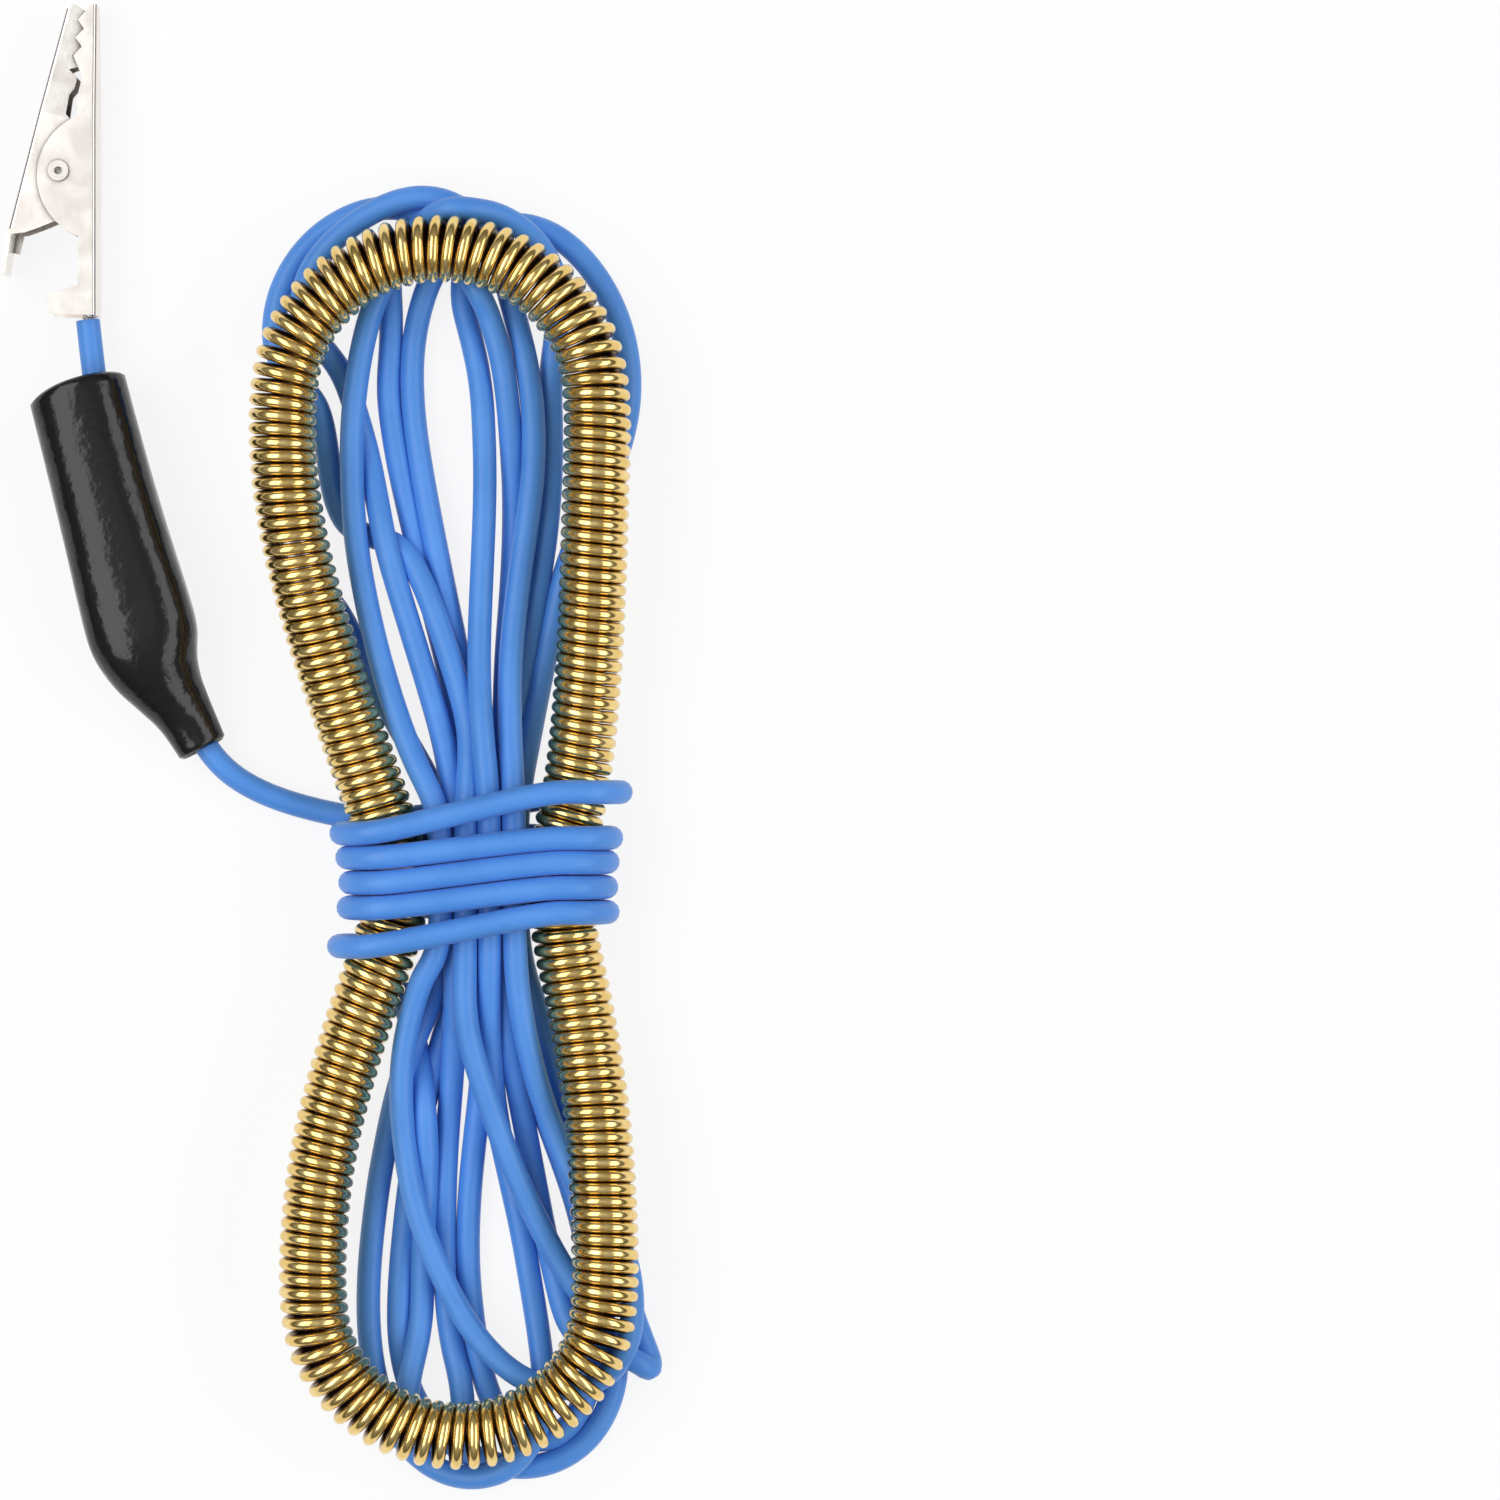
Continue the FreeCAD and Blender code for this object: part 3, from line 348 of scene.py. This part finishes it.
def spring_line():
    """The loop's centre line at even steps, with its directions and how tightly it bends.

    Sideways is level and square to the line, and upright is square to both."""
    line = np.roll(loop_line, -30, axis=0)
    distance = along(line, closed=True)
    whole = np.vstack([line, line[:1]])
    even = np.linspace(0, distance[-1], LOOP_SAMPLES, endpoint=False)
    centre = np.stack([np.interp(even, distance, whole[:, axis]) for axis in range(3)], axis=1)
    ahead = unit(np.roll(centre, -8, axis=0) - np.roll(centre, 8, axis=0))
    step = distance[-1] / len(even)
    turned = np.roll(ahead, -BEND_REACH, axis=0) - np.roll(ahead, BEND_REACH, axis=0)
    bending = np.linalg.norm(turned, axis=1) / (2 * BEND_REACH * step)
    sideways = unit(np.cross(ahead, [0, 0, 1]))
    return centre, ahead, sideways, np.cross(sideways, ahead), bending, step


def bracelet():
    """The close-wound spring: a helix about the loop's centre line, whose turns lie close on the inside of
    each bend and open on the outside.

    A turn takes up a little over the wire's width where the line is straight. Where it bends, the turn takes
    up that length times radius / (radius - turn's own radius), up to a limit, past which turns press into
    each other on the inside. The phase is the sum of steps over that."""
    centre, ahead, sideways, upright, bending, step = spring_line()
    turn_r = COIL_R - COIL_WIRE_R
    pitch = 2 * COIL_WIRE_R * TURN_SPACE / (1 - np.minimum(bending * turn_r, MOST_OPEN))
    phase = np.cumsum(step / pitch)
    phase *= 2 * math.pi * round(phase[-1]) / phase[-1]
    out = np.cos(phase)[:, None] * sideways + np.sin(phase)[:, None] * upright
    wire = centre + turn_r * out
    forward = unit(np.roll(wire, -1, axis=0) - np.roll(wire, 1, axis=0))
    across = np.cross(forward, out)
    around = np.linspace(0, 2 * math.pi, 12, endpoint=False)
    ring = (np.cos(around)[None, :, None] * out[:, None] + np.sin(around)[None, :, None] * across[:, None])
    piece = grid_mesh("bracelet_spring", (wire[:, None] + COIL_WIRE_R * ring) * MM, round_u=True)
    # How far round each ring faces into the coil, 0 outside to 1 inside: the gold finish paints shade from it
    # where turns meet.
    painted_shade_share = np.broadcast_to(0.5 - 0.5 * np.cos(around)[None, :], ring.shape[:2])
    vertex_values(piece, "inward", painted_shade_share)
    return piece


spring = bracelet()


# ---- the boot ----

# Its sections from the mouth to the end of the cuff: x, y, half width, half height, and how square it is.
boot_rows = np.array([
    (-27.6, 38.9, 5.55, 4.85, 2.2), (-26.7, 35.4, 5.55, 4.9, 2.3), (-24.8, 27.9, 5.65, 5.0, 2.4),
    (-22.8, 20.9, 5.85, 5.1, 2.5), (-21.1, 14.9, 6.15, 5.1, 2.5), (-20.0, 10.6, 6.2, 5.05, 2.4),
    (-19.0, 7.7, 5.25, 4.7, 2.3), (-17.6, 5.2, 4.15, 4.0, 2.15), (-16.1, 2.9, 3.4, 3.3, 2.05),
    (-14.9, 0.8, 3.05, 2.85, 2.0), (-13.8, -1.3, 2.85, 2.75, 2.0),
])


def boot_skin():
    """The dipped boot: superellipses, |x/a|^n + |z/b|^n = 1, carried along a line, outside and then inside.

    The wall is 0.75 mm thick, its rims are round, and its mouth is a little uneven, as cut soft plastic is."""
    rows = smooth_line(boot_rows, 10)
    distance = along(rows[:, :2])
    reach = distance / distance[-1]
    ahead = unit(np.gradient(rows[:, :2], axis=0))
    sideways = np.stack([-ahead[:, 1], ahead[:, 0], np.zeros(len(rows))], axis=1)
    along_line = np.column_stack([ahead, np.zeros(len(rows))])
    around = np.linspace(0, 2 * math.pi, 96, endpoint=False)

    def shell(inset, shift):
        power = 2 / rows[:, 4:5]
        wide = np.sign(np.cos(around)) * np.abs(np.cos(around)) ** power * (rows[:, 2:3] - inset[:, None])
        high = np.sign(np.sin(around)) * np.abs(np.sin(around)) ** power * (rows[:, 3:4] - inset[:, None])
        soft = 0.07 * np.sin(2 * around + 9 * reach[:, None]) * np.sin(math.pi * reach[:, None])
        uneven = shift[:, None] * (0.55 * np.cos(2 * around) - 0.6 * np.cos(around))
        points = np.zeros((len(rows), len(around), 3))
        points[:, :, :2] = rows[:, None, :2]
        points[:, :, 2] = rows[:, 3:4]
        points += (wide + soft)[:, :, None] * sideways[:, None] + uneven[:, :, None] * along_line[:, None]
        points[:, :, 2] += high
        return points

    wall = 0.75
    none = np.zeros(len(rows))
    mouth_lip = np.exp(-distance / 2.0)
    outer = shell(none, 0.7 * mouth_lip)
    inner = shell(none + wall, 0.7 * mouth_lip)
    mouth = (outer[:1] + inner[:1]) / 2 - along_line[:1, None] * wall * 0.45
    cuff = (outer[-1:] + inner[-1:]) / 2 + along_line[-1:, None] * wall * 0.45
    points = np.vstack([mouth, outer, cuff, inner[::-1]])
    return grid_mesh("boot_skin", points[:, ::-1] * MM, round_u=True)


boot_piece = boot_skin()


# ---- finishes ----

class Field:
    """A value that varies over a surface, and that arithmetic works on."""

    def __init__(self, finish, socket):
        self.finish, self.socket = finish, socket

    def _math(self, operation, *values):
        return self.finish.node("ShaderNodeMath", {"operation": operation}, dict(enumerate(values)))

    def __add__(self, other):
        return self._math("ADD", self, other)

    def __radd__(self, other):
        return self._math("ADD", other, self)

    def __rsub__(self, other):
        return self._math("SUBTRACT", other, self)

    def __mul__(self, other):
        return self._math("MULTIPLY", self, other)


class Finish:
    """A surface finish made of shader nodes."""

    def __init__(self, name, **sockets):
        self.material = bpy.data.materials.new(name)
        self.material.use_nodes = True
        self.tree = self.material.node_tree
        self.shader = self.tree.nodes["Principled BSDF"]
        self.set(**sockets)
        self.place = self.node("ShaderNodeTexCoord", output="Object")

    def node(self, kind, settings=None, inputs=None, output=0):
        """A node with its settings made first, then its sockets' values or links. stops are a ramp's."""
        made = self.tree.nodes.new(kind)
        for key, value in (settings or {}).items():
            if key == "stops":
                elements = made.color_ramp.elements
                while len(elements) < len(value):
                    elements.new(1)
                for element, (position, level) in zip(elements, value):
                    element.position = position
                    element.color = (level, level, level, 1)
            else:
                setattr(made, key, value)
        for key, value in (inputs or {}).items():
            if isinstance(value, Field):
                self.tree.links.new(value.socket, made.inputs[key])
            else:
                made.inputs[key].default_value = value
        return Field(self, made.outputs[output])

    def set(self, **sockets):
        """Values or links of the shader's own sockets, by name with _ for a space."""
        for key, value in sockets.items():
            socket = self.shader.inputs[key.replace("_", " ")]
            if isinstance(value, Field):
                self.tree.links.new(value.socket, socket)
            else:
                socket.default_value = value

    def noise(self, scale, detail=3, stretch=(1, 1, 1), roughness=0.5):
        """Cloudy values about 0.5, scale per metre, drawn out along an axis by a small stretch there."""
        spread = self.node("ShaderNodeVectorMath", {"operation": "MULTIPLY"}, {0: self.place, 1: stretch})
        return self.node("ShaderNodeTexNoise", None,
                         {"Vector": spread, "Scale": scale, "Detail": detail, "Roughness": roughness})

    def ramp(self, value, *stops):
        """A value passed through a ramp of (position, level) stops."""
        return self.node("ShaderNodeValToRGB", {"stops": stops}, {0: value})

    def blend(self, mask, low, high):
        """One colour where the mask is 0 and another where it is 1."""
        return self.node("ShaderNodeMix", {"data_type": "RGBA"},
                         {0: mask, 6: low if isinstance(low, Field) else (*low, 1),
                          7: high if isinstance(high, Field) else (*high, 1)}, output=2)

    def attribute(self, name):
        """A number that the mesh carries on each vertex."""
        return self.node("ShaderNodeAttribute", {"attribute_name": name}, output="Fac")

    def open_sky(self, reach_mm):
        """1 where a surface lies open, falling towards 0 in seams and crevices."""
        return self.node("ShaderNodeAmbientOcclusion", {"samples": 8}, {"Distance": reach_mm * MM}, output="AO")

    def level(self):
        """1 on level faces, 0 on upright ones, and between the two round a bend in the sheet."""
        facing = self.node("ShaderNodeTexCoord", output="Normal")
        return self.node("ShaderNodeMath", {"operation": "ABSOLUTE"},
                         {0: self.node("ShaderNodeSeparateXYZ", None, {0: facing}, output="Z")})

    def bump(self, height, depth_mm, strength=1.0):
        """A normal from a height of that depth."""
        return self.node("ShaderNodeBump", None,
                         {"Strength": strength, "Distance": depth_mm * MM, "Height": height})


def lead_finish():
    """Soft silicone insulation: even blue, a dull sheen, faint scuffs and a slight mottle."""
    finish = Finish("blue_silicone", Sheen_Weight=0.12, Sheen_Roughness=0.4, Specular_IOR_Level=0.42)
    mottle = finish.ramp(finish.noise(140, 2), (0.35, 0), (0.65, 1))
    scuff = finish.ramp(finish.noise(1900, 5, roughness=0.65), (0.62, 0), (0.74, 1))
    blue = finish.blend(mottle, (0.072, 0.265, 0.73), (0.088, 0.298, 0.80))
    finish.set(Base_Color=finish.blend(scuff * 0.16, blue, (0.36, 0.55, 0.88)),
               Roughness=0.40 + mottle * 0.05 + scuff * 0.1,
               Normal=finish.bump(finish.noise(2600, 3), 0.02, 0.35))
    return finish.material


def spring_finish():
    """Gold-coloured plated spring wire, drawn along, with painted shade: its gold darkens to brown round each
    turn's inner side, where turns meet.
    """
    finish = Finish("gold_wire", Metallic=1.0)
    inward = finish.attribute("inward")
    # Painted shade: the gold darkens to dark brown towards each turn's inner side, where turns meet.
    shade = finish.ramp(inward, (0.14, 0), (0.66, 1))
    wear = finish.ramp(finish.noise(900, 4), (0.42, 0), (0.68, 1))
    gold = finish.blend(wear, (0.82, 0.57, 0.19), (0.93, 0.72, 0.32))
    finish.set(Base_Color=finish.blend(shade, gold, (0.17, 0.085, 0.02)),
               Roughness=0.16 + wear * 0.07 + shade * 0.15,
               Normal=finish.bump(finish.noise(2200, 3), 0.01, 0.25))
    return finish.material


def nickel_finish():
    """Barrel-plated nickel on stamped sheet: bright, with a slight ripple and fine rub marks, and painted
    shade: darker in crevices and between the parts, and along each rounded fold.
    """
    finish = Finish("plated_nickel", Metallic=1.0)
    cloud = finish.ramp(finish.noise(260, 3), (0.38, 0), (0.66, 1))
    rubs = finish.ramp(finish.noise(5200, 4, stretch=(1, 0.12, 1)), (0.55, 0), (0.75, 1))
    plate = finish.blend(cloud, (0.86, 0.80, 0.75), (0.94, 0.90, 0.85))
    # Painted shade: darker in crevices and between the parts, from the ambient occlusion value.
    painted_crevice_shade = finish.ramp(finish.open_sky(0.9), (0.45, 1), (0.92, 0))
    # Painted shade: a dark line on the faces that tilt round a fold, between level and upright.
    painted_fold_shade = finish.ramp(finish.level(), (0.18, 0), (0.34, 0.8), (0.72, 0.8), (0.93, 0))
    finish.set(Base_Color=finish.blend(painted_crevice_shade, finish.blend(painted_fold_shade, plate, (0.20, 0.18, 0.17)), (0.16, 0.14, 0.12)),
               Roughness=0.22 + cloud * 0.05 + rubs * 0.05,
               Normal=finish.bump(finish.noise(420, 2) + rubs * 0.03, 0.02, 0.35))
    return finish.material


def steel_finish():
    """Bright drawn spring steel."""
    finish = Finish("drawn_steel", Metallic=1.0)
    drawn = finish.noise(6000, 3, stretch=(1, 1, 0.2))
    finish.set(Base_Color=finish.blend(drawn, (0.50, 0.50, 0.49), (0.66, 0.65, 0.63)),
               Roughness=0.2 + drawn * 0.15)
    return finish.material


def solder_finish():
    """Solder: satin grey metal with a frozen ripple."""
    finish = Finish("set_solder", Metallic=1.0)
    ripple = finish.noise(1500, 4)
    finish.set(Base_Color=finish.blend(ripple, (0.55, 0.55, 0.54), (0.75, 0.74, 0.72)),
               Roughness=0.22 + ripple * 0.25, Normal=finish.bump(ripple, 0.15, 0.8))
    return finish.material


def strand_finish():
    """Tinned copper strands, twisted: slanting ridges across the bare end."""
    finish = Finish("tinned_strands", Metallic=1.0)
    ridges = finish.node("ShaderNodeTexWave", {"bands_direction": "DIAGONAL"},
                         {"Vector": finish.place, "Scale": 900.0, "Distortion": 1.5, "Detail": 1.0})
    finish.set(Base_Color=finish.blend(ridges, (0.42, 0.37, 0.30), (0.78, 0.76, 0.72)),
               Roughness=0.35 - ridges * 0.1, Normal=finish.bump(ridges, 0.12, 0.8))
    return finish.material


def boot_finish():
    """Dipped black PVC: glossy, with a soft waviness, a little dust and fine rubs."""
    finish = Finish("black_vinyl", Specular_IOR_Level=0.42)
    wavy = finish.noise(90, 2)
    dust = finish.ramp(finish.noise(3200, 4, roughness=0.7), (0.66, 0), (0.80, 1))
    finish.set(Base_Color=finish.blend(dust * 0.35, (0.006, 0.006, 0.0065), (0.07, 0.07, 0.07)),
               Roughness=0.13 + wavy * 0.08 + dust * 0.25,
               Normal=finish.bump(wavy + finish.noise(520, 2) * 0.22 + finish.noise(1500, 3) * 0.07, 0.55, 0.8))
    return finish.material


def dress(piece, material):
    """Give an object its only material."""
    piece.data.materials.clear()
    piece.data.materials.append(material)


dress(lead, lead_finish())
dress(spring, spring_finish())
dress(boot_piece, boot_finish())
nickel, steel, gold = nickel_finish(), steel_finish(), spring.data.materials[0]
node_finishes = {
    "clip_fixed_jaw": nickel, "clip_moving_jaw": nickel, "clip_rivet": nickel, "clip_spring": steel,
    "clip_solder": solder_finish(), "clip_conductor": strand_finish(), "coil_joiner": steel,
}
node_finishes["bracelet_conductor"] = node_finishes["clip_conductor"]
for name, material in node_finishes.items():
    dress(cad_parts[name], material)


# ---- who moves with what ----

for piece, body, slot in ((lead, "strap", "lead_blue"), (spring, "strap", "gold_spring"),
                          (boot_piece, "boot", "boot_black")):
    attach(piece, body)
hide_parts("lead_head", "lead_strands_upper", "lead_strands_lower", "lead_wraps", "lead_tail")
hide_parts("bracelet_coil")
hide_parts("boot")


# ---- floor, lamps and surroundings ----

def floor():
    """A white table that stays white behind the strap and still takes its shadow."""
    half = 1.5
    corners = np.array([[(-half, -half, 0), (-half, half, 0)], [(half, -half, 0), (half, half, 0)]])
    table = grid_mesh("table", corners[:, ::-1], round_v=False)
    finish = Finish("white_table", Base_Color=(0.9, 0.9, 0.9, 1), Roughness=0.9)
    glow = finish.node("ShaderNodeEmission", None, {"Color": (1, 1, 1, 1), "Strength": 1.0})
    seen = (finish.node("ShaderNodeLightPath", output="Is Camera Ray")
            + finish.node("ShaderNodeLightPath", output="Is Glossy Ray")
            + finish.node("ShaderNodeLightPath", output="Is Transmission Ray"))
    mixed = finish.tree.nodes.new("ShaderNodeMixShader")
    finish.tree.links.new((seen * 0.86).socket, mixed.inputs[0])
    finish.tree.links.new(finish.shader.outputs[0], mixed.inputs[1])
    finish.tree.links.new(glow.socket, mixed.inputs[2])
    finish.tree.links.new(mixed.outputs[0], finish.tree.nodes["Material Output"].inputs[0])
    dress(table, finish.material)


def lamp(name, place, aim, size, power):
    """A soft square lamp at a place, facing another."""
    data = bpy.data.lights.new(name, "AREA")
    data.shape = "RECTANGLE"
    data.size, data.size_y = size
    data.energy = power
    holder = bpy.data.objects.new(name, data)
    heading = np.array(place, float) - np.array(aim, float)
    length = np.linalg.norm(heading)
    tilt = math.acos(heading[2] / length)
    holder.location = place
    holder.rotation_euler = (tilt, 0, math.atan2(heading[1], heading[0]) + math.pi / 2)
    bpy.context.collection.objects.link(holder)


def surroundings():
    """A plain studio: bright overhead and dimmer towards the horizon."""
    world = bpy.data.worlds.new("studio")
    bpy.context.scene.world = world
    world.use_nodes = True
    tree = world.node_tree
    background = tree.nodes["Background"]
    background.inputs["Strength"].default_value = 0.44
    split = tree.nodes.new("ShaderNodeSeparateXYZ")
    tree.links.new(tree.nodes.new("ShaderNodeTexCoord").outputs["Generated"], split.inputs[0])
    ramp = tree.nodes.new("ShaderNodeValToRGB")
    for element, (position, level) in zip(ramp.color_ramp.elements, ((0.0, 0.22), (0.9, 1.0))):
        element.position = position
        element.color = (level, level, level, 1)
    tree.links.new(split.outputs["Z"], ramp.inputs[0])
    tree.links.new(ramp.outputs[0], background.inputs["Color"])


floor()
surroundings()
lamp("left", (-0.42, 0.05, 0.66), (0.0, 0.0, 0.0), (1.1, 0.5), 4.4)
lamp("right", (0.62, -0.05, 0.50), (0.0, 0.0, 0.0), (1.1, 0.4), 3.2)
lamp("above", (-0.03, 0.0, 0.90), (-0.03, 0.0, 0.0), (0.5, 0.5), 0.17)
bpy.context.scene.view_settings.view_transform = "Standard"
